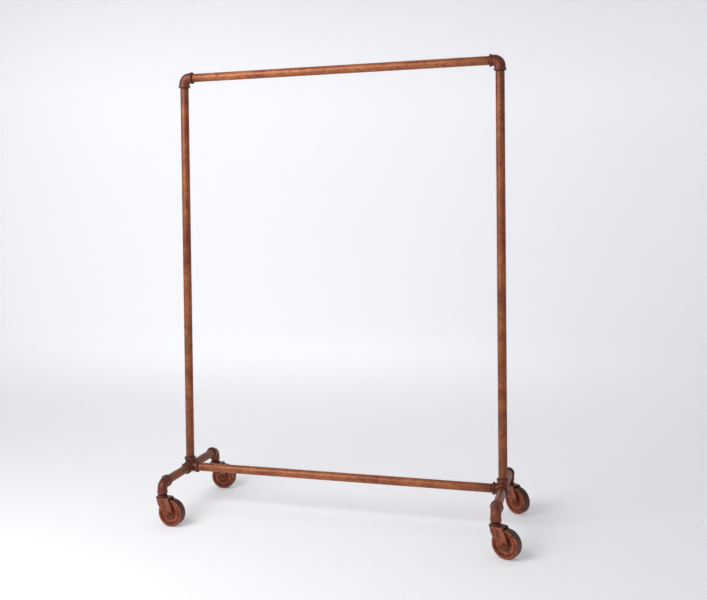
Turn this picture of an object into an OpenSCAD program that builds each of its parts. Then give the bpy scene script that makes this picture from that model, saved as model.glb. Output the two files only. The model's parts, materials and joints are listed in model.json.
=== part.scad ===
// Rolling clothes rack made of threaded iron pipe, banded pipe fittings and four swivel casters.
// Origin on the floor under the middle of the rack, +X along the hang bar, +Y to the rear, +Z up.

/* [Frame] */
// Distance between the two upright axes
rack_w = 1270; // [700:5:1800]
// Height of the hang bar axis above the floor
bar_z = 1740; // [900:5:2200]
// Distance between the front and rear caster stems
foot_spread = 476; // [300:2:700]

/* [Pipe] */
// Outside diameter of the pipe (1 inch nominal size)
pipe_od = 33.4; // [30:0.1:35]
// Wall thickness of the pipe
pipe_wall = 3.4; // [2.5:0.1:4]
// Distance from one thread crest to the next
thread_pitch = 2.2; // [1.8:0.1:3]
// Depth of the thread below the outside of the pipe
thread_depth = 1.1; // [0.5:0.1:1.5]
// Number of thread turns cut on each pipe end
thread_turns = 10; // [8:1:12]
// Length of pipe screwed into each fitting
engagement = 17; // [12:0.5:18]
// Outside diameter of the smaller nipple in each caster stem (3/4 inch nominal size)
nipple_od = 26.7; // [25:0.1:27]
// Wall thickness of the nipple
nipple_wall = 2.9; // [2:0.1:3]
// Distance from one nipple thread crest to the next
nipple_pitch = 1.8; // [1.6:0.1:2.2]

/* [Fittings] */
// Distance from the centre of a fitting to each of its faces
face_dist = 38.1; // [36:0.1:44]
// Outside diameter of the cast body between the bands
body_od = 41; // [40:0.5:43]
// Outside diameter of the band round each mouth
band_od = 46.5; // [45:0.5:50]
// Width of the band
band_w = 9; // [5:0.5:11]
// Outside diameter of the cast body at the stem mouth of a leg elbow
stem_body_od = 37; // [34:0.5:38]
// Outside diameter of the band round the stem mouth
stem_band_od = 39.5; // [39:0.5:43]
// Bend radius of the elbows at their centre line
bend_r = 24; // [22:0.5:26]

/* [Casters] */
// Diameter of the cast wheel
wheel_d = 101.6; // [90:0.2:102]
// Width of the wheel at its rim
wheel_w = 32; // [26:1:34]
// Horizontal distance from the swivel axis to the axle
trail = 40.5; // [38:0.1:50]
// Height of the bottom elbow face above the floor
stem_face_z = 120.5; // [120:0.1:122]
// Thickness of the pressed fork metal
fork_t = 3.5; // [3:0.1:4]
// Clear width between the fork legs
fork_gap = 38; // [38:0.5:42]
// Diameter of the axle bolt
axle_d = 8; // [6:1:10]
// Diameter of the king pin
kingpin_d = 10; // [8:1:10]
// Number of balls in each swivel race
ball_count = 16; // [10:1:16]

/* [Resting swivel angles] */
// Front left caster, degrees from +X towards +Y
front_left_angle = -4; // [-180:1:180]
// Front right caster
front_right_angle = -21; // [-180:1:180]
// Rear left caster
rear_left_angle = 4; // [-180:1:180]
// Rear right caster
rear_right_angle = -35; // [-180:1:180]

/* [Hidden] */
$fn = 64;
PIPE = "#9a5638";
CASTING = "#5f3a33";
WHEEL = "#7d4630";
BOLT = "#4a3029";

fit = 0.05;                            // radial gap of every fit and running pair
eps = 0.5;                             // how far a cut runs past a face
chamfer = 1.2;                         // edge break on castings
offset_step = 0.2;                     // keeps crossing cylinders from sharing a surface
pipe_r = pipe_od / 2;
bore_r = pipe_r - pipe_wall;
root_r = pipe_r - thread_depth;
nipple_r = nipple_od / 2;
nipple_bore_r = nipple_r - nipple_wall;
nipple_root_r = nipple_r - thread_depth;
socket_depth = engagement + 1;
pipe_end = face_dist - engagement;     // from a fitting's centre to the pipe end inside it
waterway_r = 14.2;
body_r = body_od / 2;
band_r = band_od / 2;
stem_body_r = stem_body_od / 2;
stem_band_r = stem_band_od / 2;
rail_z = stem_face_z + face_dist;      // axis of the bottom rail and the leg pipes
bar_len = rack_w - 2 * pipe_end;
upright_len = bar_z - rail_z - 2 * pipe_end;
leg_len = foot_spread / 2 - 2 * pipe_end;

wheel_r = wheel_d / 2;
axle_r = axle_d / 2;
bushing_r = axle_r + 3;
hub_half = fork_gap / 2 - 1.5;
rim_half = wheel_w / 2;
web_half = 12;                         // half thickness of the web near the rim
recess_half = 8.5;                     // half thickness at the bottom of the ring round the hub
hub_r = 14;
boss_r = 12;                           // rounded lower end of each fork leg
fork_half = fork_gap / 2 + fork_t;
crown_z = stem_face_z - 15.5;          // underside of the fork crown
crown_top = crown_z + 4;
crown_r = 25;
crown_rear = 37.5;
crown_bevel = 3;
leg_front = -13;                       // leading edge of the legs under the crown
leg_rear = 35.5;
leg_top = crown_top - crown_bevel;
ball_r = 2.5;
race_r = 14.5;                         // radius of the circle of ball centres
race_depth = 1.2;
ball_z = crown_top + ball_r - race_depth;
cap_r = 19.5;
cap_wall = 1.8;
cap_bottom = crown_top + 0.8;
cap_roof = ball_z + ball_r - race_depth;
cap_top = cap_roof + 2.6;
cap_bevel = 1.5;

washer_t = 1.6;
axle_hex = 1.6 * axle_d + 0.2;         // across the flats
axle_head_h = 0.66 * axle_d;
axle_nut_h = 0.8 * axle_d;
washer_r = axle_hex / 2 + 1.5;
kingpin_r = kingpin_d / 2;
kingpin_hex = 1.6 * kingpin_d;
kingpin_head_h = 0.64 * kingpin_d;
kingpin_nut_h = 0.8 * kingpin_d;
nut_gap = 0.3;                         // free play between the crown and its nut

CORNERS = ["front_left", "front_right", "rear_left", "rear_right"];
SIDE = [-1, 1, -1, 1];                 // left or right, along X
END = [-1, -1, 1, 1];                  // front or rear, along Y
REST = [front_left_angle, front_right_angle, rear_left_angle, rear_right_angle];
FRAME_NODES = [
    "hang_bar", "left_upright", "right_upright", "bottom_rail",
    "top_left_elbow", "top_right_elbow", "left_side_outlet_tee", "right_side_outlet_tee"
];
CORNER_NODES = [
    "leg_pipe", "leg_elbow", "stem_nipple", "swivel_cap", "kingpin", "kingpin_nut",
    "swivel_balls", "fork", "axle_bushing", "axle_bolt", "axle_nut", "wheel"
];

// Crest and root points of the thread turns from height z, for one pipe end
function thread(z) = [
    for (i = [0:thread_turns - 1])
        each [[root_r, z + i * thread_pitch], [pipe_r, z + (i + 0.5) * thread_pitch]]
];

// Points of a quadratic curve from a to c that leans towards b
function curve(a, b, c, steps) = [
    for (i = [0:steps]) let (t = i / steps) (1 - t) * (1 - t) * a + 2 * t * (1 - t) * b + t * t * c
];

// Six points round a hexagon of the given width across the flats
module hexagon(flats) {
    circle(d = flats / cos(30), $fn = 6);
}

// Pipe along +Z, threaded at both ends
module threaded_pipe(length) {
    cut = thread_turns * thread_pitch;
    rotate_extrude()
        polygon(concat(
            [[bore_r, 0]],
            thread(0),
            [[root_r, cut], [pipe_r, cut + thread_depth], [pipe_r, length - cut - thread_depth]],
            thread(length - cut),
            [[root_r, length], [bore_r, length]]
        ));
}

// Mouth of a fitting along +Z: a neck from radius r at height start to radius r_end, then the band
module mouth(start, r, r_end, band) {
    neck = face_dist - band_w;
    rotate_extrude()
        polygon([
            [0, start], [r, start], [r_end, neck - chamfer], [band - chamfer, neck], [band, neck + chamfer],
            [band, face_dist - chamfer], [band - chamfer, face_dist], [0, face_dist]
        ]);
}

// Hole of a fitting's mouth along +Z, for a pipe of radius r
module socket(r) {
    translate([0, 0, face_dist - socket_depth])
        cylinder(r = r + fit, h = socket_depth + eps);
}

// Quarter bend from the +X mouth to the -Z mouth
module bend(r) {
    translate([bend_r, 0, -bend_r])
        rotate([90, 0, 0])
            rotate([0, 0, 90])
                rotate_extrude(angle = 90)
                    translate([bend_r, 0])
                        circle(r = r);
}

// Elbow with one mouth towards +X and one towards -Z
module elbow() {
    neck_r = body_r + offset_step;
    difference() {
        union() {
            bend(body_r);
            rotate([0, 90, 0]) mouth(bend_r, neck_r, neck_r, band_r);
            rotate([180, 0, 0]) mouth(bend_r, neck_r, neck_r, band_r);
        }
        bend(waterway_r);
        rotate([0, 90, 0]) socket(pipe_r);
        rotate([180, 0, 0]) socket(pipe_r);
    }
}

// Elbow that steps down from the leg pipe at +X to the nipple at -Z
module reducing_elbow() {
    neck_r = stem_body_r + offset_step;
    difference() {
        union() {
            bend(stem_body_r);
            rotate([0, 90, 0]) mouth(bend_r - band_w, neck_r, body_r, band_r);
            rotate([180, 0, 0]) mouth(bend_r, neck_r, neck_r, stem_band_r);
        }
        bend(nipple_bore_r);
        rotate([0, 90, 0]) socket(pipe_r);
        rotate([180, 0, 0]) socket(nipple_r);
    }
}

// Tee along Y with a branch up and a side outlet towards +X
module side_outlet_tee() {
    branch_r = body_r - offset_step;
    outlet_r = branch_r - offset_step;
    difference() {
        union() {
            for (turn = [-90, 90])
                rotate([turn, 0, 0]) mouth(0, body_r, body_r, band_r);
            mouth(0, branch_r, branch_r, band_r);
            rotate([0, 90, 0]) mouth(0, outlet_r, outlet_r, band_r);
        }
        for (turn = [-90, 90])
            rotate([turn, 0, 0]) socket(pipe_r);
        socket(pipe_r);
        rotate([0, 90, 0]) socket(pipe_r);
        rotate([90, 0, 0]) cylinder(r = waterway_r, h = 2 * face_dist, center = true);
        cylinder(r = waterway_r - offset_step, h = face_dist);
        rotate([0, 90, 0]) cylinder(r = waterway_r - 2 * offset_step, h = face_dist);
    }
}

// Places a caster piece, whose own frame has the swivel axis on Z and the wheel towards +X
module at_stem(corner) {
    translate([SIDE[corner] * rack_w / 2, END[corner] * foot_spread / 2, 0])
        rotate([0, 0, REST[corner]])
            children();
}

// Places a piece on the axle of a caster, with the axle along its own Z
module at_axle(corner) {
    at_stem(corner)
        translate([trail, 0, wheel_r])
            rotate([90, 0, 0])
                children();
}

module hang_bar() {
    color(PIPE)
        translate([-bar_len / 2, 0, bar_z])
            rotate([0, 90, 0])
                threaded_pipe(bar_len);
}

module bottom_rail() {
    color(PIPE)
        translate([-bar_len / 2, 0, rail_z])
            rotate([0, 90, 0])
                threaded_pipe(bar_len);
}

module upright(side) {
    color(PIPE)
        translate([side * rack_w / 2, 0, rail_z + pipe_end])
            threaded_pipe(upright_len);
}

module top_elbow(side) {
    color(CASTING)
        translate([side * rack_w / 2, 0, bar_z])
            rotate([0, 0, side < 0 ? 0 : 180])
                elbow();
}

module base_tee(side) {
    color(CASTING)
        translate([side * rack_w / 2, 0, rail_z])
            rotate([0, 0, side < 0 ? 0 : 180])
                side_outlet_tee();
}

module leg_pipe(corner) {
    color(PIPE)
        translate([SIDE[corner] * rack_w / 2, END[corner] * pipe_end, rail_z])
            rotate([-90 * END[corner], 0, 0])
                threaded_pipe(leg_len);
}

module leg_elbow(corner) {
    color(CASTING)
        translate([SIDE[corner] * rack_w / 2, END[corner] * foot_spread / 2, rail_z])
            rotate([0, 0, -90 * END[corner]])
                reducing_elbow();
}

// Short threaded nipple that joins the swivel cap to the leg elbow
module stem_nipple(corner) {
    length = stem_face_z + engagement - cap_top;
    turns = floor(length / nipple_pitch);
    color(PIPE)
        at_stem(corner)
            translate([0, 0, cap_top])
                rotate_extrude()
                    polygon(concat(
                        [[nipple_bore_r, 0], [nipple_root_r, 0]],
                        [for (i = [0:turns - 1])
                            each [
                                [nipple_r, (i + 0.5) * nipple_pitch],
                                [nipple_root_r, (i + 1) * nipple_pitch]
                            ]],
                        [[nipple_root_r, length], [nipple_bore_r, length]]
                    ));
}

// Ring of the ball race, cut from the cap above the balls and from the crown below them
module ball_race() {
    translate([0, 0, ball_z])
        rotate_extrude()
            translate([race_r, 0])
                circle(r = ball_r + fit);
}

// Upper half of the swivel: a pressed cap with the upper ball race
module swivel_cap(corner) {
    inner = cap_r - cap_wall;
    color(CASTING)
        at_stem(corner)
            difference() {
                rotate_extrude()
                    polygon([
                        [kingpin_r + fit, cap_roof], [inner, cap_roof], [inner, cap_bottom],
                        [cap_r, cap_bottom], [cap_r, cap_top - cap_bevel],
                        [cap_r - cap_bevel, cap_top], [kingpin_r + fit, cap_top]
                    ]);
                ball_race();
            }
}

module kingpin(corner) {
    length = cap_top - crown_z + kingpin_nut_h + 2;
    color(BOLT)
        at_stem(corner) {
            translate([0, 0, cap_top])
                linear_extrude(kingpin_head_h)
                    hexagon(kingpin_hex);
            translate([0, 0, cap_top - length])
                cylinder(r = kingpin_r, h = length);
        }
}

module kingpin_nut(corner) {
    color(BOLT)
        at_stem(corner)
            translate([0, 0, crown_z - nut_gap - kingpin_nut_h])
                linear_extrude(kingpin_nut_h)
                    difference() {
                        hexagon(kingpin_hex);
                        circle(r = kingpin_r + fit);
                    }
}

module swivel_balls(corner) {
    color("silver")
        at_stem(corner)
            for (i = [0:ball_count - 1])
                rotate([0, 0, i * 360 / ball_count])
                    translate([race_r, 0, ball_z])
                        sphere(r = ball_r);
}

// Side outline of one fork leg, X along the trail and Y up
module leg_outline() {
    leading_end = [trail - 10.7, wheel_r - 4.8];
    trailing_end = [trail + boss_r, wheel_r + 3];
    difference() {
        union() {
            polygon(concat(
                curve([leg_front, leg_top], [-9, 68], leading_end, 8),
                [[trail, wheel_r - 4.8]],
                curve(trailing_end, [trail + boss_r, 80], [leg_rear, leg_top], 8)
            ));
            translate([trail, wheel_r]) circle(r = boss_r);
        }
        translate([trail, wheel_r]) circle(r = axle_r + fit);
    }
}

// Top plate of the fork: a bevelled disc round the swivel axis and a bevelled bar over the wheel
module crown() {
    edge = crown_top - crown_bevel;
    rotate_extrude()
        polygon([
            [0, crown_z], [crown_r, crown_z], [crown_r, edge], [crown_r - crown_bevel, crown_top],
            [0, crown_top]
        ]);
    rotate([90, 0, 90])
        linear_extrude(crown_rear)
            polygon([
                [-fork_half, crown_z], [fork_half, crown_z], [fork_half, edge],
                [fork_half - crown_bevel, crown_top], [crown_bevel - fork_half, crown_top],
                [-fork_half, edge]
            ]);
}

module fork(corner) {
    color(WHEEL)
        at_stem(corner)
            difference() {
                union() {
                    crown();
                    for (y = [fork_t - fork_half, fork_half])
                        translate([0, y, 0])
                            rotate([90, 0, 0])
                                linear_extrude(fork_t)
                                    leg_outline();
                }
                translate([0, 0, crown_z - eps])
                    cylinder(r = kingpin_r + fit, h = crown_top - crown_z + 2 * eps);
                ball_race();
            }
}

// Fixed sleeve between the fork legs, on which the wheel turns
module axle_bushing(corner) {
    color("silver")
        at_axle(corner)
            difference() {
                cylinder(r = bushing_r, h = fork_gap - 2 * fit, center = true);
                cylinder(r = axle_r + fit, h = fork_gap + eps, center = true);
            }
}

module axle_bolt(corner) {
    head_z = fork_half + washer_t;
    color(BOLT)
        at_axle(corner) {
            translate([0, 0, -head_z - axle_head_h])
                linear_extrude(axle_head_h)
                    hexagon(axle_hex);
            translate([0, 0, -head_z])
                cylinder(r = axle_r, h = 2 * head_z + axle_nut_h + 2);
        }
}

// Hexagon nut and the washers under it and under the bolt head
module axle_nut(corner) {
    color(BOLT)
        at_axle(corner) {
            translate([0, 0, fork_half + washer_t])
                linear_extrude(axle_nut_h)
                    difference() {
                        hexagon(axle_hex);
                        circle(r = axle_r + fit);
                    }
            for (z = [-fork_half - washer_t, fork_half])
                translate([0, 0, z])
                    difference() {
                        cylinder(r = washer_r, h = washer_t);
                        translate([0, 0, -eps]) cylinder(r = axle_r + fit, h = washer_t + 2 * eps);
                    }
        }
}

// Half of the wheel's section, from the bore to the tread: X is the radius, Y is along the axle.
// The hub stands proud, then come a deep ring, the web, a step and the flat rim.
function wheel_half(s) = [
    [bushing_r + fit, s * hub_half], [hub_r - 1.5, s * hub_half], [hub_r, s * (hub_half - 1.5)],
    [hub_r + 1.5, s * (recess_half + 1)], [hub_r + 3, s * recess_half], [22, s * recess_half],
    [24, s * (recess_half + 1.5)], [35, s * web_half], [37, s * (web_half - 0.5)],
    [40, s * (rim_half - 1)], [41.5, s * rim_half], [wheel_r - 3, s * rim_half],
    [wheel_r - 0.8, s * (rim_half - 1)], [wheel_r, s * (rim_half - 3.5)]
];

module wheel(corner) {
    upper = wheel_half(1);
    lower = wheel_half(-1);
    color(WHEEL)
        at_axle(corner)
            rotate_extrude()
                polygon(concat(upper, [for (i = [len(lower) - 1:-1:0]) lower[i]]));
}

hang_bar();
upright(-1);  // left_upright
upright(1);  // right_upright
bottom_rail();
top_elbow(-1);  // top_left_elbow
top_elbow(1);  // top_right_elbow
base_tee(-1);  // left_side_outlet_tee
base_tee(1);  // right_side_outlet_tee

for (i = [0:3]) {
    leg_pipe(i);
    leg_elbow(i);
    stem_nipple(i);
    swivel_cap(i);
    kingpin(i);
    kingpin_nut(i);
    swivel_balls(i);
    fork(i);
    axle_bushing(i);
    axle_bolt(i);
    axle_nut(i);
    wheel(i);
}
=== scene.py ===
"""Looks of the rolling clothes rack: rust-brown threaded pipe, banded castings and swivel casters.

Shapes are worked out in millimetres, in the same local frames as the CAD parts, and placed in metres.
"""
import json
import math

import bpy
import numpy as np
from mathutils import Matrix, Vector


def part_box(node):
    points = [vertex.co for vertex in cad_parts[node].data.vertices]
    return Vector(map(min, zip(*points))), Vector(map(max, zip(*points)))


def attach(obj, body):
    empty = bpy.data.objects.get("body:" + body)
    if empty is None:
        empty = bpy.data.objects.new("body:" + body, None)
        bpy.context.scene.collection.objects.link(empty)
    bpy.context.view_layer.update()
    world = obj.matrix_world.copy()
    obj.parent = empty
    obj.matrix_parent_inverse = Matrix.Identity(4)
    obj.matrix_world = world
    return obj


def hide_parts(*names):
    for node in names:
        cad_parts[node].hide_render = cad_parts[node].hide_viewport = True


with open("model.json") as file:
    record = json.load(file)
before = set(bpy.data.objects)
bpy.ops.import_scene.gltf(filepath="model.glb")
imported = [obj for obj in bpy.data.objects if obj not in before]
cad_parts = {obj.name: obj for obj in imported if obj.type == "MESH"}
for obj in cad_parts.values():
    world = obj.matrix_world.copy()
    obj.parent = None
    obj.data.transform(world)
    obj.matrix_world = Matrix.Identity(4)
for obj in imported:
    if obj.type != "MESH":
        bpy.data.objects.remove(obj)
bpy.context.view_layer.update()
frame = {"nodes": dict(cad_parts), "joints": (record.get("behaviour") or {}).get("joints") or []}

CORNERS = ("front_left", "front_right", "rear_left", "rear_right")
JOINTS = {joint["name"]: joint for joint in frame["joints"]}


# ---------------------------------------------------------------- sizes, in millimetres, from the frame

def extent(node, axis):
    """Lowest and highest coordinate of a CAD node along one axis, in mm."""
    low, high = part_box(node)
    return low[axis] * 1000, high[axis] * 1000


def width(node, axis):
    low, high = extent(node, axis)
    return high - low


def middle(node, axis):
    return sum(extent(node, axis)) / 2


PIPE_R = width("hang_bar", 1) / 2
BAR_Z = middle("hang_bar", 2)
RAIL_Z = middle("bottom_rail", 2)
BAND_R = width("top_left_elbow", 1) / 2
FACE = extent("top_left_elbow", 0)[1] - middle("left_upright", 0)   # fitting centre to its face
WHEEL_R = extent("front_left_wheel", 2)[1] / 2
STEM_FACE = RAIL_Z - FACE                                           # underside of a leg elbow
CAP_TOP = extent("front_left_swivel_cap", 2)[1]
CAP_BOTTOM = extent("front_left_swivel_cap", 2)[0]
CAP_R = width("front_left_swivel_cap", 0) / 2
CROWN_TOP = extent("front_left_fork", 2)[1]
BALL_Z = middle("front_left_swivel_balls", 2)
NIPPLE_R = width("front_left_stem_nipple", 0) / 2

FIT = 0.05                # gap of every fit
PIPE_WALL = 3.4
ENGAGEMENT = 17.0         # pipe inside each fitting
THREAD_PITCH = 2.2
THREAD_DEPTH = 1.1
THREAD_LENGTH = 24.0
BAND_WIDTH = 9.0
BODY_R = 20.5
STEM_BODY_R = 18.5
STEM_BAND_R = 19.75
BEND_R = 24.0
WATERWAY_R = 14.2
NIPPLE_WALL = 2.9
NIPPLE_PITCH = 1.8
AXLE_R = 4.0
AXLE_HEX = 13.0
BUSHING_R = 7.0
KINGPIN_R = 5.0
KINGPIN_HEX = 16.0
RACE_R = 14.5
BALL_R = 2.5
RACE_DEPTH = 1.2
FORK_GAP = 38.0
FORK_T = 3.5
FORK_HALF = FORK_GAP / 2 + FORK_T
CROWN_T = 4.0
CROWN_R = 25.0
CROWN_REAR = 37.5         # rear end of the crown, from the swivel axis
BOSS_R = 12.0
WHEEL_HALF = 16.0
HUB_HALF = 17.5
WASHER_R = 8.0
WASHER_T = 1.6


def turn(degrees, axis):
    return Matrix.Rotation(math.radians(degrees), 4, axis)


def shift(x, y, z):
    return Matrix.Translation((x, y, z))


def caster_frame(corner):
    """Matrix in mm with the swivel axis on Z, the floor at 0 and the wheel towards +X."""
    stem = Vector(JOINTS[corner + "_swivel_turn"]["pos_m"]) * 1000
    axle = Vector(JOINTS[corner + "_wheel_spin"]["pos_m"]) * 1000
    angle = math.degrees(math.atan2(axle.y - stem.y, axle.x - stem.x))
    return shift(stem.x, stem.y, 0) @ turn(angle, "Z")


def trail_of(corner):
    stem = Vector(JOINTS[corner + "_swivel_turn"]["pos_m"]).to_2d()
    axle = Vector(JOINTS[corner + "_wheel_spin"]["pos_m"]).to_2d()
    return (axle - stem).length * 1000


TRAIL = trail_of("front_left")
STEM = {corner: caster_frame(corner) for corner in CORNERS}
AXLE = {corner: STEM[corner] @ shift(TRAIL, 0, WHEEL_R) @ turn(90, "X") for corner in CORNERS}
END = {corner: math.copysign(1, STEM[corner].translation.y) for corner in CORNERS}


# ---------------------------------------------------------------- outlines

def rounded(points):
    """Closed outline with rounded corners from (x, y, radius) points, as an array of (x, y)."""
    out = []
    count = len(points)
    for i, (x, y, radius) in enumerate(points):
        here = np.array([x, y], float)
        if radius <= 0:
            out.append(here)
            continue
        before = np.array(points[i - 1][:2], float) - here
        after = np.array(points[(i + 1) % count][:2], float) - here
        reach_before, reach_after = np.linalg.norm(before), np.linalg.norm(after)
        before, after = before / reach_before, after / reach_after
        if before @ after < -0.9999:
            out.append(here)
            continue
        half = math.acos(np.clip(before @ after, -1, 1)) / 2
        tangent = min(radius / math.tan(half), 0.48 * reach_before, 0.48 * reach_after)
        radius = tangent * math.tan(half)
        bisector = (before + after) / np.linalg.norm(before + after)
        centre = here + bisector * radius / math.sin(half)
        start = here + before * tangent - centre
        end = here + after * tangent - centre
        angle = math.atan2(start[0] * end[1] - start[1] * end[0], start @ end)
        steps = max(2, math.ceil(abs(angle) / math.radians(15)))
        for step in range(steps + 1):
            a = angle * step / steps
            out.append(centre + [start[0] * math.cos(a) - start[1] * math.sin(a),
                                 start[0] * math.sin(a) + start[1] * math.cos(a)])
    return np.array(out)


def curve(a, b, c):
    """Points of a quadratic curve from a to c that leans towards b."""
    t = np.linspace(0, 1, 13)[:, None]
    return (1 - t) ** 2 * np.array(a) + 2 * t * (1 - t) * np.array(b) + t ** 2 * np.array(c)


def spaced(outline, longest):
    """The closed outline with extra points, so that no stretch is over the longest length."""
    out = []
    for a, b in zip(outline, np.roll(outline, -1, 0)):
        steps = max(1, math.ceil(np.linalg.norm(b - a) / longest))
        out += [a + (b - a) * step / steps for step in range(steps)]
    return np.array(out)


# ---------------------------------------------------------------- meshes

def signed_volume(points, faces):
    total = 0.0
    for k in range(1, faces.shape[1] - 1):
        a, b, c = points[faces[:, 0]], points[faces[:, k]], points[faces[:, k + 1]]
        total += np.einsum("ij,ij->i", a, np.cross(b, c)).sum()
    return total / 6


def ring_mesh(rings):
    """Closed quad mesh from an array of rings (ring, point, xyz) that joins back to its first ring."""
    count, around = rings.shape[:2]
    i, j = np.meshgrid(np.arange(count), np.arange(around), indexing="ij")
    i2, j2 = (i + 1) % count, (j + 1) % around
    faces = np.stack([i * around + j, i * around + j2, i2 * around + j2, i2 * around + j], -1)
    points, faces = rings.reshape(-1, 3), faces.reshape(-1, 4)
    return points, faces if signed_volume(points, faces) > 0 else faces[:, ::-1]


def straight(s):
    """Path along +Z: centre and the in-plane normal at each distance s."""
    zero, one = np.zeros_like(s), np.ones_like(s)
    return np.stack([zero, zero, s], -1), np.stack([zero, one, zero], -1)


def sweep(section, path=straight, around=96, relief=None):
    """Sweeps circles along a path: section holds (distance along the path, radius) points, closed.

    relief(s, angle, radius) returns the radius that a ring really has at each angle.
    """
    s, radius = section[:, 0], section[:, 1]
    angle = np.arange(around) * 2 * math.pi / around
    centre, normal = path(s)
    side = np.array([1.0, 0, 0]) if path is straight else np.array([0, 1.0, 0])
    r = np.repeat(radius[:, None], around, 1)
    if relief is not None:
        r = relief(s[:, None], angle[None, :], r)
    rings = (centre[:, None, :] + (r * np.cos(angle))[..., None] * side
             + (r * np.sin(angle))[..., None] * normal[:, None, :])
    return ring_mesh(rings)


def surface_net(field, low, high, step):
    """Closed quad mesh of the surface where field(points) is zero, moved onto that surface."""
    axes = [np.arange(a, b + step, step) for a, b in zip(low, high)]
    grid = np.stack(np.meshgrid(*axes, indexing="ij"), -1)
    inside = np.concatenate([field(slab.reshape(-1, 3)) for slab in grid]).reshape(grid.shape[:3]) < 0
    count = np.zeros([n - 1 for n in inside.shape], int)
    for corner in np.ndindex(2, 2, 2):
        count += inside[tuple(slice(c, c - 1 or None) for c in corner)]
    mixed = (count > 0) & (count < 8)
    index = np.full(mixed.shape, -1)
    index[mixed] = np.arange(mixed.sum())
    points = np.array(low) + (np.argwhere(mixed) + 0.5) * step
    faces = []
    for axis in range(3):
        first, second = [a for a in range(3) if a != axis]
        here = np.moveaxis(inside, axis, 0)
        crossing = np.argwhere(np.moveaxis(here[:-1] != here[1:], 0, axis))
        entering = inside[tuple(crossing.T)]
        ring = []
        for a, b in ((0, 0), (-1, 0), (-1, -1), (0, -1)):
            cell = crossing.copy()
            cell[:, first] += a
            cell[:, second] += b
            ring.append(index[tuple(cell.T)])
        quads = np.stack(ring, -1)
        flip = entering if axis == 1 else ~entering
        quads[flip] = quads[flip][:, ::-1]
        faces.append(quads)
    faces = np.concatenate(faces)
    for smoothing in (True, True, False):
        if smoothing:
            points = even_out(points, faces)
        points = onto(field, points, step)
    return points, faces if signed_volume(points, faces) > 0 else faces[:, ::-1]


def even_out(points, faces):
    """Moves each point to the mean of its neighbours."""
    total, number = np.zeros_like(points), np.zeros(len(points))
    for k in range(4):
        for other in (faces[:, (k + 1) % 4], faces[:, k - 1]):
            np.add.at(total, faces[:, k], points[other])
            np.add.at(number, faces[:, k], 1)
    return total / number[:, None]


def onto(field, points, step):
    """Moves points along the field's slope until the field is zero there."""
    nudge = 0.05
    for _ in range(3):
        slope = np.stack([field(points + nudge * e) - field(points - nudge * e) for e in np.eye(3)], -1)
        slope /= 2 * nudge
        length = np.maximum((slope ** 2).sum(1), 0.2)
        move = slope * (field(points) / length)[:, None]
        points = points - np.clip(move, -step, step)
    return points


def add_piece(name, shape, matrix, material, body, slot, *nodes, wear_and_painted_light=None):
    """Makes a Blender object from (points, faces) in mm, placed by the matrix, that stands for CAD nodes.

    The last argument gives each point a value from -1, darkest, to 1, lightest; on the forks and wheels it
    holds painted shade and painted highlight.
    """
    points, faces = shape
    matrix = np.array(matrix)
    placed = (points @ matrix[:3, :3].T + matrix[:3, 3]) / 1000
    mesh = bpy.data.meshes.new(name)
    mesh.from_pydata(placed, [], faces)
    mesh.shade_smooth()
    mesh.materials.append(material)
    if wear_and_painted_light is not None:
        attribute = mesh.attributes.new("wear_and_painted_light", "FLOAT", "POINT")
        attribute.data.foreach_set("value", wear_and_painted_light(points).astype(np.float32))
    piece = bpy.data.objects.new(name, mesh)
    bpy.context.scene.collection.objects.link(piece)
    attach(piece, body)
    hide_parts(*nodes)


def joined(*shapes):
    """Several (points, faces) as one, each still a closed shell of its own."""
    points, faces, start = [], [], 0
    for p, f in shapes:
        points.append(p)
        faces.append(f + start)
        start += len(p)
    return np.concatenate(points), np.concatenate(faces)


# ---------------------------------------------------------------- distance fields, in millimetres

def soft_min(a, b, k):
    h = np.clip(0.5 + 0.5 * (b - a) / k, 0, 1)
    return b * (1 - h) + a * h - k * h * (1 - h)


def soft_max(a, b, k):
    return -soft_min(-a, -b, k)


def rod(p, axis, radius, low, high, edge=0.0):
    """Distance to a cylinder along an axis, with rounded edges."""
    first, second = [a for a in range(3) if a != axis]
    out = np.hypot(p[:, first], p[:, second]) - radius + edge
    along = np.abs(p[:, axis] - (low + high) / 2) - (high - low) / 2 + edge
    return np.minimum(np.maximum(out, along), 0) + np.hypot(np.maximum(out, 0), np.maximum(along, 0)) - edge


def outline_distance(x, y, outline):
    """Signed distance to a closed 2D outline, negative inside."""
    nearest = np.full(len(x), np.inf)
    inside = np.zeros(len(x), bool)
    for (ax, ay), (bx, by) in zip(outline, np.roll(outline, -1, 0)):
        dx, dy = bx - ax, by - ay
        t = np.clip(((x - ax) * dx + (y - ay) * dy) / (dx * dx + dy * dy), 0, 1)
        nearest = np.minimum(nearest, (x - ax - t * dx) ** 2 + (y - ay - t * dy) ** 2)
        if dy != 0:
            spans = (ay > y) != (by > y)
            inside ^= spans & (x < ax + (y - ay) * dx / dy)
    distance = np.sqrt(nearest)
    return np.where(inside, -distance, distance)


# ---------------------------------------------------------------- pipes

def pipe_shape(length):
    """Pipe along +Z with a helical thread at both ends; only the exposed turns are finely cut."""
    fine_from, fine_to = ENGAGEMENT - 2, THREAD_LENGTH + 2
    fine = np.arange(fine_from, fine_to, THREAD_PITCH / 12)
    plain = np.linspace(fine_to, length - fine_to, max(2, int(length / 60)))
    s = np.concatenate([[0, 2], fine, plain, length - fine[::-1], [length - 2, length]])
    outer = np.stack([s, np.full(len(s), PIPE_R)], -1)
    outer[[0, -1], 1] -= 1.5
    inner = np.array([[length, PIPE_R - PIPE_WALL], [0, PIPE_R - PIPE_WALL]])
    return sweep(np.concatenate([outer, inner]), relief=thread_relief(length, PIPE_R))


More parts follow.
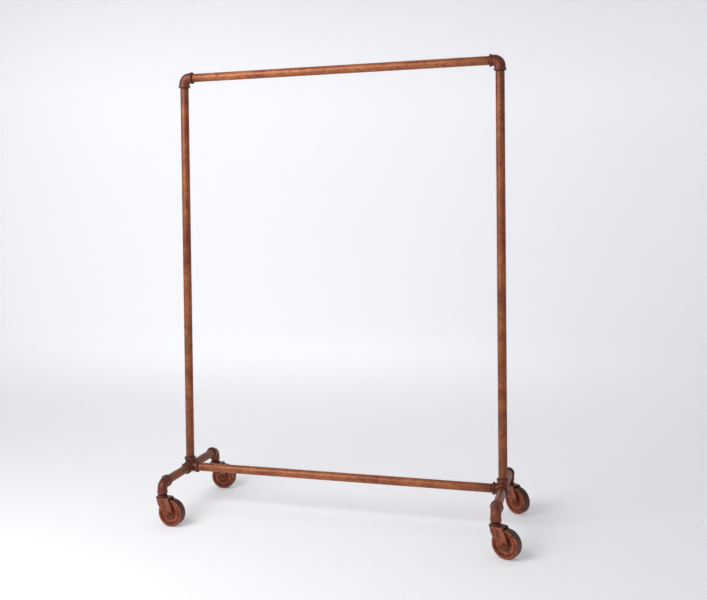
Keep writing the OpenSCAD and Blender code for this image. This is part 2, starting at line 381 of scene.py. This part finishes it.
def thread_relief(length, radius, cut=THREAD_LENGTH, pitch=THREAD_PITCH):
    """Cuts helical threads that fade out towards the plain part of a pipe or stud."""
    def relief(s, angle, r):
        from_end = np.minimum(s, length - s)
        fade = np.clip((cut - from_end) / (1.6 * pitch), 0, 1)
        phase = (from_end / pitch + angle / (2 * math.pi)) % 1
        groove = np.clip(1.25 - np.abs(phase - 0.5) * 2 * 1.25, 0, 1)
        return np.where(r > radius - 0.01, r - THREAD_DEPTH * fade * (1 - groove), r)
    return relief


def add_pipe(name, origin, direction, length):
    place = shift(*origin) @ Vector(direction).to_track_quat("Z", "Y").to_matrix().to_4x4()
    axis = "XYZ"[int(np.argmax(np.abs(direction)))]

    def wear_and_painted_light(p):
        """Darker towards the fittings."""
        from_end = np.minimum(p[:, 2], length - p[:, 2])
        return -0.3 * np.exp(-np.maximum(from_end - ENGAGEMENT, 0) / min(90, length / 5))

    add_piece(name + "_finish", pipe_shape(length), place, PIPE_PATINA_LIT_BY_DIRECTION[axis], "frame", "pipe", name, wear_and_painted_light=wear_and_painted_light)


# ---------------------------------------------------------------- fittings

def elbow_path(s):
    """Centre line from the +X mouth's face to the -Z mouth's face."""
    leg = FACE - BEND_R
    arc = BEND_R * math.pi / 2
    phi = np.clip((s - leg) / BEND_R, 0, math.pi / 2)
    before, after = np.maximum(leg - s, 0), np.maximum(s - leg - arc, 0)
    zero = np.zeros_like(s)
    normal = np.stack([-np.sin(phi), zero, np.cos(phi)], -1)
    corner = np.array([BEND_R, 0, -BEND_R])
    straight_part = np.stack([before, zero, -after], -1)
    return corner + BEND_R * normal + straight_part, normal


def elbow_shape(bore_r, body_r, band_r):
    """Banded elbow with a pipe mouth towards +X and a mouth of the given sizes towards -Z."""
    total = 2 * (FACE - BEND_R) + BEND_R * math.pi / 2
    first, second, waterway = PIPE_R + FIT, bore_r + FIT, min(WATERWAY_R, bore_r - NIPPLE_WALL)
    near, far = ENGAGEMENT + 1, total - ENGAGEMENT - 1
    section = spaced(rounded([
        (0, first + 1.2, 0.2), (0, BAND_R, 1.9), (BAND_WIDTH, BAND_R, 1.6), (BAND_WIDTH, BODY_R, 1.8),
        (BAND_WIDTH + 13, body_r, 9.0), (total - BAND_WIDTH, body_r, 1.8), (total - BAND_WIDTH, band_r, 1.6),
        (total, band_r, 1.9), (total, second + 1.2, 0.2), (total - 1.2, second, 0), (far, second, 0),
        (far, waterway, 0), (near, waterway, 0), (near, first, 0), (1.2, first, 0)
    ]), 1.6)

    def relief(s, angle, r):
        """Slight swelling of the bend, a parting line in its plane and cast unevenness."""
        outside = r > second + 1.5
        swelling = 0.55 * np.sin(math.pi * np.clip(s / total, 0, 1)) ** 2
        swelling = np.where((s > BAND_WIDTH + 1) & (s < total - BAND_WIDTH - 1), swelling, 0)
        parting = 0.22 * np.exp(-(np.cos(angle) / 0.035) ** 2)
        uneven = 0.07 * np.sin(3 * angle + s / 7) + 0.05 * np.sin(5 * angle - s / 4 + 1.3)
        return np.where(outside & (r < band_r - 0.3), r + swelling + parting + uneven, r)

    return sweep(section, elbow_path, 112, relief)


def tee_field(p):
    """Side-outlet tee: run along Y, branch towards +Z, outlet towards +X."""
    mouths = ((1, -1), (1, 1), (2, 1), (0, 1))
    body = soft_min(rod(p, 1, BODY_R, -FACE + 1, FACE - 1), rod(p, 2, BODY_R, 0, FACE - 1), 5.0)
    body = soft_min(body, rod(p, 0, BODY_R, 0, FACE - 1), 5.0)
    body = soft_min(body, np.linalg.norm(p, axis=1) - BODY_R - 0.8, 3.0)
    body = body - 0.22 * np.exp(-(p[:, 0] / 0.7) ** 2)
    for axis, sign in mouths:
        band = rod(p * sign, axis, BAND_R, FACE - BAND_WIDTH, FACE, 1.6)
        body = soft_min(body, band, 1.2)
    body = body + 0.05 * np.sin(p[:, 0] / 3.1 + p[:, 1] / 4.3) * np.sin(p[:, 2] / 3.7 - p[:, 1] / 5.1)
    hollow = np.minimum(rod(p, 1, WATERWAY_R, -FACE, FACE), rod(p, 2, WATERWAY_R, 0, FACE))
    hollow = np.minimum(hollow, rod(p, 0, WATERWAY_R, 0, FACE))
    socket = PIPE_R + FIT
    for axis, sign in mouths:
        hollow = np.minimum(hollow, rod(p * sign, axis, socket, FACE - ENGAGEMENT - 1, FACE + 5))
        first, second = [a for a in range(3) if a != axis]
        flare = np.hypot(p[:, first], p[:, second]) - socket - (p[:, axis] * sign - FACE + 1.2)
        hollow = np.minimum(hollow, np.maximum(flare * 0.7, FACE - 2 - p[:, axis] * sign))
    return soft_max(body, -hollow, 0.4)


def add_fittings():
    elbow = elbow_shape(PIPE_R, BODY_R, BAND_R)
    for side, name in ((-1, "top_left_elbow"), (1, "top_right_elbow")):
        place = shift(middle(name.replace("top_", "").replace("elbow", "upright"), 0), 0, BAR_Z)
        place = place @ turn(0 if side < 0 else 180, "Z")
        add_piece(name + "_casting", elbow, place, CASTING, "frame", "casting", name)
    reducer = elbow_shape(NIPPLE_R, STEM_BODY_R, STEM_BAND_R)
    for corner in CORNERS:
        place = shift(STEM[corner].translation.x, STEM[corner].translation.y, RAIL_Z)
        place = place @ turn(-90 * END[corner], "Z")
        name = corner + "_leg_elbow"
        add_piece(name + "_casting", reducer, place, CASTING, "frame", "casting", name)
    reach = BAND_R + 1.5
    tee = surface_net(tee_field, (-reach, -FACE - 1.5, -reach), (FACE + 1.5, FACE + 1.5, FACE + 1.5), 0.65)
    for side, name in ((-1, "left_side_outlet_tee"), (1, "right_side_outlet_tee")):
        place = shift(middle(name.replace("side_outlet_tee", "upright"), 0), 0, RAIL_Z)
        place = place @ turn(0 if side < 0 else 180, "Z")
        add_piece(name + "_casting", tee, place, CASTING, "frame", "casting", name)


def add_pipes():
    end = FACE - ENGAGEMENT
    left = middle("left_upright", 0)
    right = middle("right_upright", 0)
    bar = right - left - 2 * end
    add_pipe("hang_bar", (left + end, 0, BAR_Z), (1, 0, 0), bar)
    add_pipe("bottom_rail", (left + end, 0, RAIL_Z), (1, 0, 0), bar)
    for name, x in (("left_upright", left), ("right_upright", right)):
        add_pipe(name, (x, 0, RAIL_Z + end), (0, 0, 1), BAR_Z - RAIL_Z - 2 * end)
    for corner in CORNERS:
        x, y = STEM[corner].translation.xy
        add_pipe(corner + "_leg_pipe", (x, END[corner] * end, RAIL_Z), (0, END[corner], 0), abs(y) - 2 * end)


# ---------------------------------------------------------------- casters

def nipple_shape():
    """Close nipple between the swivel cap and the leg elbow, threaded all the way."""
    length = STEM_FACE + ENGAGEMENT - CAP_TOP
    radius = NIPPLE_R - 0.05
    s = np.linspace(0, length, int(length / (NIPPLE_PITCH / 12)))
    outer = np.stack([s, np.full(len(s), radius)], -1)
    inner = np.array([[length, NIPPLE_R - NIPPLE_WALL], [0, NIPPLE_R - NIPPLE_WALL]])
    endless = thread_relief(10 * length, radius, cut=10 * length, pitch=NIPPLE_PITCH)
    return sweep(np.concatenate([outer, inner]), relief=endless)


def cap_shape():
    """Pressed swivel cap with the upper ball race and a weld bead round the nipple."""
    groove = BALL_R + FIT
    roof = BALL_Z + BALL_R - RACE_DEPTH
    start = math.asin((roof - BALL_Z) / groove)
    race = [(BALL_Z + groove * math.sin(a), RACE_R + groove * math.cos(a), 0)
            for a in np.linspace(math.pi - start, start, 9)]
    section = rounded([
        (roof, KINGPIN_R + FIT, 0), *race, (roof, CAP_R - 1.8, 0.3), (CAP_BOTTOM, CAP_R - 1.8, 0.4),
        (CAP_BOTTOM, CAP_R, 0.6), (CAP_TOP, CAP_R, 2.0), (CAP_TOP, NIPPLE_R + 2.4, 0.8),
        (CAP_TOP + 1.3, NIPPLE_R + 1.2, 0.8), (CAP_TOP + 1.7, NIPPLE_R - 0.9, 0),
        (CAP_TOP, NIPPLE_R - 1.6, 0), (CAP_TOP, KINGPIN_R + FIT, 0)
    ])
    return sweep(section, around=120)


def fork_outline():
    """Side view of the fork: crown, swept legs and axle boss, as an outline in X and Z."""
    boss_x, boss_z = TRAIL, WHEEL_R
    front = curve((-13, CROWN_TOP - 8), (-9, 68), (boss_x - 10.7, boss_z - 4.8))
    angles = np.radians(np.linspace(204, 372, 16))
    boss = np.stack([boss_x + BOSS_R * np.cos(angles), boss_z + BOSS_R * np.sin(angles)], -1)
    back = curve((boss_x + BOSS_R, boss_z + 4), (boss_x + BOSS_R, 80), (CROWN_REAR - 1, CROWN_TOP - 7))
    crown = np.array([
        (CROWN_REAR + 0.5, CROWN_TOP - 5.5), (CROWN_REAR + 0.5, CROWN_TOP + 2),
        (-CROWN_R - 1, CROWN_TOP + 2), (-CROWN_R - 1, CROWN_TOP - 6)
    ])
    return np.concatenate([front, boss, back, crown])


FORK_OUTLINE = fork_outline()


def fork_field(p):
    """Pressed fork: a bent channel of sheet metal, trimmed to its outline, with a ball race."""
    x, y, z = p[:, 0], p[:, 1], p[:, 2]
    half = FORK_HALF - FORK_T / 2
    top = CROWN_TOP - CROWN_T / 2
    bend = 5.0
    # a pressed channel runs down the middle of each leg
    lean = 12.5 + 0.4 * (100 - z)
    channel = np.exp(-((x - lean) / 8.5) ** 2) * np.clip((z - 66) / 8, 0, 1) * np.clip((102 - z) / 6, 0, 1)
    half = half - 1.6 * channel
    side, up = np.abs(y) - half + bend, z - top + bend
    sheet = np.hypot(np.maximum(side, 0), np.maximum(up, 0)) + np.minimum(np.maximum(side, up), 0) - bend
    thick = np.where(up > 0, CROWN_T, FORK_T) / 2
    shell = np.abs(sheet) - thick
    profile = outline_distance(x, z, FORK_OUTLINE)
    shoulder = 4.5
    round_front = np.hypot(np.maximum(np.hypot(x, y) - CROWN_R + shoulder, 0),
                           np.maximum(z - CROWN_TOP + shoulder, 0)) - shoulder
    corner = 9
    rear = np.hypot(np.maximum(x - CROWN_REAR + corner, 0), np.maximum(np.abs(y) - FORK_HALF + corner, 0))
    at_rear = (x > CROWN_REAR - corner) & (z > CROWN_TOP - 7)
    plan = np.where(x < 0, round_front, np.where(at_rear, rear - corner - 0.4, -25.0))
    body = soft_max(shell, soft_max(profile, plan, 1.0), 1.1)
    around_axle = np.hypot(x - TRAIL, z - WHEEL_R)
    pin = np.maximum(np.hypot(x, y) - KINGPIN_R - FIT, CROWN_TOP - 8 - z)
    groove = np.hypot(np.hypot(x, y) - RACE_R, z - BALL_Z) - BALL_R - FIT
    holes = np.minimum(np.minimum(pin, groove), around_axle - AXLE_R - FIT)
    return soft_max(body, -holes, 0.3)


def fork_painted_light(p):
    """Painted shade on the crown top under the cap and down the pressed channel, and a painted highlight on
    the rib beside it.
    """
    x, z = p[:, 0], p[:, 2]
    on_leg = np.clip((z - 62) / 8, 0, 1) * np.clip((106 - z) / 4, 0, 1)
    rib = np.exp(-((x - 29.5 - 0.24 * (100 - z)) / 5) ** 2)
    channel = np.exp(-((x - 12.5 - 0.4 * (100 - z)) / 8) ** 2)
    crown = np.clip((z - CROWN_TOP + 4) / 2, 0, 1)
    # Rib: painted highlight; channel and crown top: painted shade.
    return on_leg * (0.8 * rib - 0.4 * channel) - 0.5 * crown


def hexagon_distance(x, y, flats):
    """Distance to a hexagon with two corners on X."""
    distance = np.full(len(x), -np.inf)
    for k in range(3):
        a = math.radians(30 + 60 * k)
        distance = np.maximum(distance, np.abs(x * math.cos(a) + y * math.sin(a)) - flats / 2)
    return distance


def chamfered_hexagon(p, flats, low, high, both=True):
    """Hexagon prism along Z with the turned chamfer of a real nut or bolt head."""
    radial = np.hypot(p[:, 0], p[:, 1])
    body = np.maximum(hexagon_distance(p[:, 0], p[:, 1], flats), np.maximum(low - p[:, 2], p[:, 2] - high))
    slope = math.tan(math.radians(30))
    cone = (radial - flats / 2 * 0.96) * slope
    body = soft_max(body, (p[:, 2] - high + cone) * 0.87, 0.25)
    if both:
        body = soft_max(body, (low - p[:, 2] + cone) * 0.87, 0.25)
    return body


def screw_radius(p, radius, pitch, depth):
    """Radius of a V thread at each point round Z."""
    phase = (p[:, 2] / pitch - np.arctan2(p[:, 1], p[:, 0]) / (2 * math.pi)) % 1
    return radius - depth * np.abs(phase - 0.5) * 2


def nut_shape(flats, low, high, bore):
    def field(p):
        hole = np.hypot(p[:, 0], p[:, 1]) - bore - FIT
        flare = np.hypot(p[:, 0], p[:, 1]) - bore - 0.9 + np.minimum(high - p[:, 2], p[:, 2] - low)
        return soft_max(chamfered_hexagon(p, flats, low, high), -np.minimum(hole, flare * 0.7), 0.15)
    reach = flats / 2 / math.cos(math.radians(30)) + 1
    return surface_net(field, (-reach, -reach, low - 1), (reach, reach, high + 1), 0.4)


def bolt_shape(flats, head_low, head_high, radius, end, plain_to, pitch):
    """Bolt along +Z: chamfered head, plain shank, then a helical thread to a chamfered end."""
    def field(p):
        radial = np.hypot(p[:, 0], p[:, 1])
        cut = screw_radius(p, radius, pitch, 0.6 * pitch)
        shank = radial - np.where(p[:, 2] > plain_to, cut, radius)
        shank = np.maximum(shank * 0.9, np.maximum(head_high - 1 - p[:, 2], p[:, 2] - end))
        shank = soft_max(shank, (radial - radius + 1.2 + p[:, 2] - end) * 0.7, 0.2)
        head = chamfered_hexagon(p * (1, 1, -1), flats, -head_high, -head_low, both=False)
        return np.minimum(head, shank)
    reach = flats / 2 / math.cos(math.radians(30)) + 1
    return surface_net(field, (-reach, -reach, head_low - 1), (reach, reach, end + 1), 0.4)


def washer_shape(low):
    section = rounded([
        (low, AXLE_R + FIT, 0.2), (low, WASHER_R, 0.3), (low + WASHER_T, WASHER_R, 0.5),
        (low + WASHER_T, AXLE_R + FIT, 0.2)
    ])
    return sweep(section, around=72)


def bushing_shape():
    half = FORK_GAP / 2 - FIT
    section = rounded([
        (-half, AXLE_R + FIT, 0.3), (-half, BUSHING_R, 0.4), (half, BUSHING_R, 0.4), (half, AXLE_R + FIT, 0.3)
    ])
    return sweep(spaced(section, 6), around=72)


def wheel_shape():
    """Cast wheel with a proud hub, a deep ring round it, a coned web and a flat rim."""
    upper = [
        (HUB_HALF, BUSHING_R + FIT, 0.4), (HUB_HALF, 13.0, 0.9), (9.0, 15.2, 1.6), (8.5, 23.0, 1.6),
        (11.5, 25.0, 1.2), (12.6, 35.5, 1.0), (11.0, 37.2, 1.0), (11.0, 39.0, 1.0),
        (WHEEL_HALF, 41.0, 1.2), (WHEEL_HALF, WHEEL_R - 2.6, 1.6), (WHEEL_HALF - 2.8, WHEEL_R, 1.8)
    ]
    lower = [(-s, r, e) for s, r, e in reversed(upper)]
    section = spaced(rounded(upper + lower), 1.5)

    def relief(s, angle, r):
        cast = (r < WHEEL_R - 3) & (r > BUSHING_R + 1)
        wave = 0.12 * np.sin(5 * angle + r / 5) * np.sin(2 * angle + s / 4)
        return np.where(cast, r + wave, r)

    return sweep(section, around=180, relief=relief)


def wheel_dirt_and_painted_light(p):
    """Darker tread, from dirt and painted shade; painted shade in the ring round the hub and in the step
    inside the rim; a lighter rim and hub boss.
    """
    radius = np.hypot(p[:, 0], p[:, 1])
    tread = np.clip((radius - WHEEL_R + 2.2) / 1.4, 0, 1)
    ring = np.exp(-((radius - 19.2) / 4.2) ** 4)
    step = np.exp(-((radius - 38.6) / 1.9) ** 2)
    rim = np.exp(-((radius - 45) / 3) ** 2) + 0.6 * np.exp(-((radius - 11.5) / 2.5) ** 2)
    # Tread: dirt and painted shade; ring and step: painted shade; rim and hub boss: lighter.
    return 0.15 * rim - 0.8 * tread - 0.4 * ring - 0.35 * step


def add_casters():
    cap = cap_shape()
    nipple = nipple_shape()
    fork_low = (-CROWN_R - 2, -FORK_HALF - 2.5, WHEEL_R - BOSS_R - 2)
    fork_high = (TRAIL + BOSS_R + 3, FORK_HALF + 2.5, CROWN_TOP + 2)
    fork = surface_net(fork_field, fork_low, fork_high, 0.75)
    head = FORK_HALF + WASHER_T
    axle = bolt_shape(AXLE_HEX, -head - 5.2, -head, AXLE_R, head + 8.3, head - 2, 1.25)
    axle_nut = joined(nut_shape(AXLE_HEX, head, head + 6.4, AXLE_R), washer_shape(FORK_HALF),
                      washer_shape(-FORK_HALF - WASHER_T))
    crown_under = CROWN_TOP - CROWN_T
    pin = bolt_shape(KINGPIN_HEX, -CAP_TOP - 6.4, -CAP_TOP, KINGPIN_R, 10 - crown_under, 1 - crown_under, 1.5)
    pin_nut = nut_shape(KINGPIN_HEX, crown_under - 8.3, crown_under - 0.3, KINGPIN_R)
    bushing = bushing_shape()
    wheel = wheel_shape()
    for corner in CORNERS:
        stem, hub = STEM[corner], AXLE[corner]
        swivel, roller = corner + "_swivel", corner + "_roller"
        for part, shape, place, material, body, slot in (
            ("stem_nipple", nipple, stem @ shift(0, 0, CAP_TOP), DARK_STEEL, "frame", "pipe"),
            ("swivel_cap", cap, stem, CASTING, "frame", "pressed_steel"),
            ("kingpin", pin, stem @ turn(180, "X"), DARK_STEEL, "frame", "fastener"),
            ("kingpin_nut", pin_nut, stem, DARK_STEEL, "frame", "fastener"),
            ("fork", fork, stem, PRESSED, swivel, "pressed_steel"),
            ("axle_bushing", bushing, hub, BRIGHT, swivel, "bright_steel"),
            ("axle_bolt", axle, hub, PRESSED, swivel, "fastener"),
            ("axle_nut", axle_nut, hub, PRESSED, swivel, "fastener"),
            ("wheel", wheel, hub, WHEEL_IRON, roller, "wheel_iron"),
        ):
            name = f"{corner}_{part}"
            # The forks' and wheels' per-point values hold painted shade and painted highlight.
            wear_and_painted_light = {"fork": fork_painted_light, "wheel": wheel_dirt_and_painted_light}.get(part)
            add_piece(name + "_finish", shape, place, material, body, slot, name, wear_and_painted_light=wear_and_painted_light)
        balls = frame["nodes"][corner + "_swivel_balls"]
        balls.data.materials.clear()
        balls.data.materials.append(BRIGHT)


# ---------------------------------------------------------------- materials

class Shader:
    """Short-hand for building one node material."""

    def __init__(self, name, metallic, coat, coat_roughness):
        self.material = bpy.data.materials.new(name)
        self.material.use_nodes = True
        self.tree = self.material.node_tree
        self.tree.nodes.clear()
        output = self.tree.nodes.new("ShaderNodeOutputMaterial")
        self.surface = self.tree.nodes.new("ShaderNodeBsdfPrincipled")
        self.surface.inputs["Metallic"].default_value = metallic
        self.surface.inputs["Coat Weight"].default_value = coat
        self.surface.inputs["Coat Roughness"].default_value = coat_roughness
        self.surface.inputs["Specular IOR Level"].default_value = 0.3
        self.link(self.surface.outputs["BSDF"], output.inputs["Surface"])
        self.place = self.tree.nodes.new("ShaderNodeTexCoord").outputs["Object"]

    def link(self, source, target):
        self.tree.links.new(source, target)

    def stretched(self, scale):
        node = self.tree.nodes.new("ShaderNodeMapping")
        node.inputs["Scale"].default_value = scale
        self.link(self.place, node.inputs["Vector"])
        return node.outputs["Vector"]

    def noise(self, scale, detail, roughness=0.55, distortion=0.0, place=None):
        node = self.tree.nodes.new("ShaderNodeTexNoise")
        for socket, value in (("Scale", scale), ("Detail", detail), ("Roughness", roughness),
                              ("Distortion", distortion)):
            node.inputs[socket].default_value = value
        self.link(place or self.place, node.inputs["Vector"])
        return node.outputs["Fac"]

    def spread(self, source, low, high, to_low=0.0, to_high=1.0):
        node = self.tree.nodes.new("ShaderNodeMapRange")
        for socket, value in (("From Min", low), ("From Max", high), ("To Min", to_low), ("To Max", to_high)):
            node.inputs[socket].default_value = value
        self.link(source, node.inputs["Value"])
        return node.outputs["Result"]

    def mix(self, factor, first, second):
        node = self.tree.nodes.new("ShaderNodeMix")
        node.data_type = "RGBA"
        for socket, value in zip((0, 6, 7), (factor, first, second)):
            if isinstance(value, bpy.types.NodeSocket):
                self.link(value, node.inputs[socket])
            elif socket == 0:
                node.inputs[socket].default_value = value
            else:
                node.inputs[socket].default_value = (*value, 1)
        return node.outputs[2]

    def maths(self, operation, first, second):
        node = self.tree.nodes.new("ShaderNodeMath")
        node.operation = operation
        for socket, value in enumerate((first, second)):
            if isinstance(value, bpy.types.NodeSocket):
                self.link(value, node.inputs[socket])
            else:
                node.inputs[socket].default_value = value
        return node.outputs[0]

    def worn_edges(self):
        """1 on outward edges, where handling has rubbed the patina."""
        geometry = self.tree.nodes.new("ShaderNodeNewGeometry")
        return self.spread(geometry.outputs["Pointiness"], 0.52, 0.6)

    def piece_wear_and_painted_tone(self, low, high):
        """0 to 1 over a range of the piece's own per-point value, which holds wear, painted shade and painted
        highlight.
        """
        node = self.tree.nodes.new("ShaderNodeAttribute")
        node.attribute_name = "wear_and_painted_light"
        return self.spread(node.outputs["Fac"], low, high)

    def painted_corner_shade(self, reach):
        """1 in corners and grooves that are closed in within the reach, in metres, where shade is painted in.
        """
        node = self.tree.nodes.new("ShaderNodeAmbientOcclusion")
        node.samples = 6
        node.inputs["Distance"].default_value = reach
        return self.spread(node.outputs["AO"], 0.85, 0.35)

    def finish(self, colour, roughness, height, strength, distance):
        self.link(colour, self.surface.inputs["Base Color"])
        self.link(roughness, self.surface.inputs["Roughness"])
        bump = self.tree.nodes.new("ShaderNodeBump")
        bump.inputs["Strength"].default_value = strength
        bump.inputs["Distance"].default_value = distance
        self.link(height, bump.inputs["Height"])
        self.link(bump.outputs["Normal"], self.surface.inputs["Normal"])
        return self.material


def linear(code):
    """Linear colour from a hexadecimal sRGB code."""
    parts = [int(code[i:i + 2], 16) / 255 for i in (0, 2, 4)]
    return tuple(v / 12.92 if v <= 0.04045 else ((v + 0.055) / 1.055) ** 2.4 for v in parts)


def patina(name, light, base, dark, grime_and_shade, along=None, cast=False, mottled=0.5, corner_shade_amount=0.85):
    """Lacquered rust patina: broad patches, streaks along a drawn pipe, stains, specks, painted shade in
    corners and grooves, and the painted highlight and shade that a piece carries per point.
    """
    shader = Shader(name, 0.3, 0.15, 0.33)
    stretch = [1.0, 1.0, 1.0]
    if along is not None:
        stretch["XYZ".index(along)] = 0.06
    drawn = shader.stretched(stretch)
    patches = shader.spread(shader.noise(11, 5, 0.6, 0.6), 0.36, 0.64)
    streaks = shader.spread(shader.noise(95, 6, 0.62, 0.2, drawn), 0.34, 0.68)
    specks = shader.noise(700, 3, 0.7)
    stains = shader.spread(shader.noise(70 if cast else 55, 6, 0.7, 1.2), 0.48, 0.6)
    colour = shader.mix(patches, linear(base), linear(light))
    colour = shader.mix(shader.maths("MULTIPLY", streaks, 0.55), colour, linear(light))
    colour = shader.mix(shader.maths("MULTIPLY", stains, mottled), colour, linear(dark))
    colour = shader.mix(shader.spread(specks, 0.55, 0.75, 0, 0.5), colour, linear(dark))
    # Lighter on rubbed edges and where the per-point value is positive, which on the forks' ribs is a painted
    # highlight.
    rubbed_and_highlit = shader.maths("MAXIMUM", shader.worn_edges(), shader.piece_wear_and_painted_tone(0, 1))
    colour = shader.mix(shader.maths("MULTIPLY", rubbed_and_highlit, 0.6), colour, linear(light))
    # Darker where the per-point value is negative: painted shade on the forks and wheels, dirt on the wheels'
    # treads, and darkening towards the fittings on the pipes.
    colour = shader.mix(shader.piece_wear_and_painted_tone(0, -1), colour, linear(grime_and_shade))
    # Painted shade: corners and grooves are darkened towards the grime colour.
    colour = shader.mix(shader.maths("MULTIPLY", shader.painted_corner_shade(0.012), corner_shade_amount), colour, linear(grime_and_shade))
    roughness = shader.maths("ADD", shader.spread(patches, 0, 1, 0.36, 0.48),
                             shader.spread(specks, 0.3, 0.7, 0, 0.1))
    grain = shader.noise(420 if cast else 900, 5, 0.6)
    height = shader.maths("ADD", grain, shader.maths("MULTIPLY", streaks, 0.3))
    return shader.finish(colour, roughness, height, 0.45 if cast else 0.18, 0.0004 if cast else 0.00015)


def bright_steel():
    """Ground steel with a film of dark grease."""
    shader = Shader("bright_steel", 0.9, 0.0, 0.2)
    grease = shader.spread(shader.noise(180, 4), 0.42, 0.66)
    colour = shader.mix(grease, linear("9B9994"), linear("3E3630"))
    roughness = shader.spread(grease, 0, 1, 0.28, 0.5)
    return shader.finish(colour, roughness, shader.noise(1200, 3), 0.15, 0.0001)


# One patina per pipe direction; the level pipes' copy is lighter, a painted highlight for the light they
# catch from above.
PIPE_PATINA_LIT_BY_DIRECTION = {
    "X": patina("level_pipe_highlit_patina", "B06A3E", "80391F", "4C2015", "1E0F0C", along="X"),
    "Y": patina("leg_pipe_patina", "9C5A2E", "6E301B", "421A12", "1E0F0C", along="Y"),
    "Z": patina("upright_patina", "A05E36", "6A2A16", "421A12", "1E0F0C", along="Z"),
}
CASTING = patina("casting_patina", "86442C", "4C241A", "26120E", "120A0A", cast=True)
PRESSED = patina("pressed_patina", "A0563A", "682C1C", "34200F", "1E0F0A", mottled=0.6)
WHEEL_IRON = patina("wheel_patina", "A65836", "743020", "42260F", "20100C",
                    cast=True, mottled=0.85, corner_shade_amount=0.55)
DARK_STEEL = patina("dark_steel", "553328", "3C241E", "201412", "0C0706")
BRIGHT = bright_steel()


# ---------------------------------------------------------------- camera, floor and light

def add_camera():
    """Camera of the reference view: level, slightly rolled, with the frame shifted down."""
    turned = math.radians(15.77)
    down = math.radians(1.36)
    roll = math.radians(-0.64)
    ahead = Vector((-math.sin(turned) * math.cos(down), math.cos(turned) * math.cos(down), -math.sin(down)))
    right = Vector((math.cos(turned), math.sin(turned), 0))
    up = right.cross(ahead)
    right, up = (math.cos(roll) * right + math.sin(roll) * up), (math.cos(roll) * up - math.sin(roll) * right)
    camera = bpy.data.objects.new("camera", bpy.data.cameras.new("camera"))
    camera.data.lens = 44.13
    camera.data.sensor_width = 36
    camera.data.shift_y = -0.0886
    camera.data.clip_end = 100
    rotation = Matrix((right, up, -ahead)).transposed().to_4x4()
    camera.matrix_world = Matrix.Translation((0.978, -3.213, 1.172)) @ rotation
    bpy.context.scene.collection.objects.link(camera)
    bpy.context.scene.camera = camera


def add_backdrop():
    """Seamless white bowl: a flat floor that curves up into a wall all round."""
    flat, sweep_r, top = 5.2, 2.6, 6.5
    angles = np.linspace(-90, 0, 17)
    section = [(0.02, 0), *((flat + sweep_r * math.cos(a), sweep_r + sweep_r * math.sin(a))
               for a in np.radians(angles)), (flat + sweep_r, top)]
    around = 96
    points = [(r * math.cos(a), r * math.sin(a), z) for r, z in section
              for a in np.arange(around) * 2 * math.pi / around]
    faces = [(i * around + j, i * around + (j + 1) % around, (i + 1) * around + (j + 1) % around,
              (i + 1) * around + j) for i in range(len(section) - 1) for j in range(around)]
    faces.append(tuple(reversed(range(around))))
    mesh = bpy.data.meshes.new("backdrop")
    mesh.from_pydata(points, [], faces)
    mesh.shade_smooth()
    backdrop = bpy.data.objects.new("backdrop", mesh)
    bpy.context.scene.collection.objects.link(backdrop)
    paper = bpy.data.materials.new("backdrop_paper")
    paper.use_nodes = True
    surface = paper.node_tree.nodes["Principled BSDF"]
    surface.inputs["Base Color"].default_value = (0.86, 0.86, 0.88, 1)
    surface.inputs["Roughness"].default_value = 0.85
    surface.inputs["Specular IOR Level"].default_value = 0.2
    surface.inputs["Emission Color"].default_value = (0.97, 0.97, 1.0, 1)
    surface.inputs["Emission Strength"].default_value = 0.2
    mesh.materials.append(paper)


def add_light(name, place, aim, size, power):
    light = bpy.data.lights.new(name, "AREA")
    light.shape = "RECTANGLE"
    light.size, light.size_y = size
    light.energy = power
    lamp = bpy.data.objects.new(name, light)
    lamp.location = place
    lamp.rotation_euler = (Vector(aim) - Vector(place)).to_track_quat("-Z", "Y").to_euler()
    lamp.visible_camera = False
    bpy.context.scene.collection.objects.link(lamp)


def add_studio():
    world = bpy.data.worlds.new("studio")
    world.use_nodes = True
    world.node_tree.nodes["Background"].inputs["Color"].default_value = (0.96, 0.97, 1.0, 1)
    world.node_tree.nodes["Background"].inputs["Strength"].default_value = 0.12
    bpy.context.scene.world = world
    bpy.context.scene.view_settings.view_transform = "Standard"
    add_light("key", (-1.3, -2.2, 2.4), (-0.2, 0.0, 1.3), (2.0, 2.0), 76)
    add_light("overhead", (-0.4, 1.5, 4.8), (-0.4, 1.5, 0.0), (4.5, 3.5), 31)
    add_light("back_wash", (-2.1, 3.2, 3.4), (-1.9, 6.8, 0.2), (4.0, 1.5), 66)


add_camera()
add_backdrop()
add_studio()
add_pipes()
add_fittings()
add_casters()
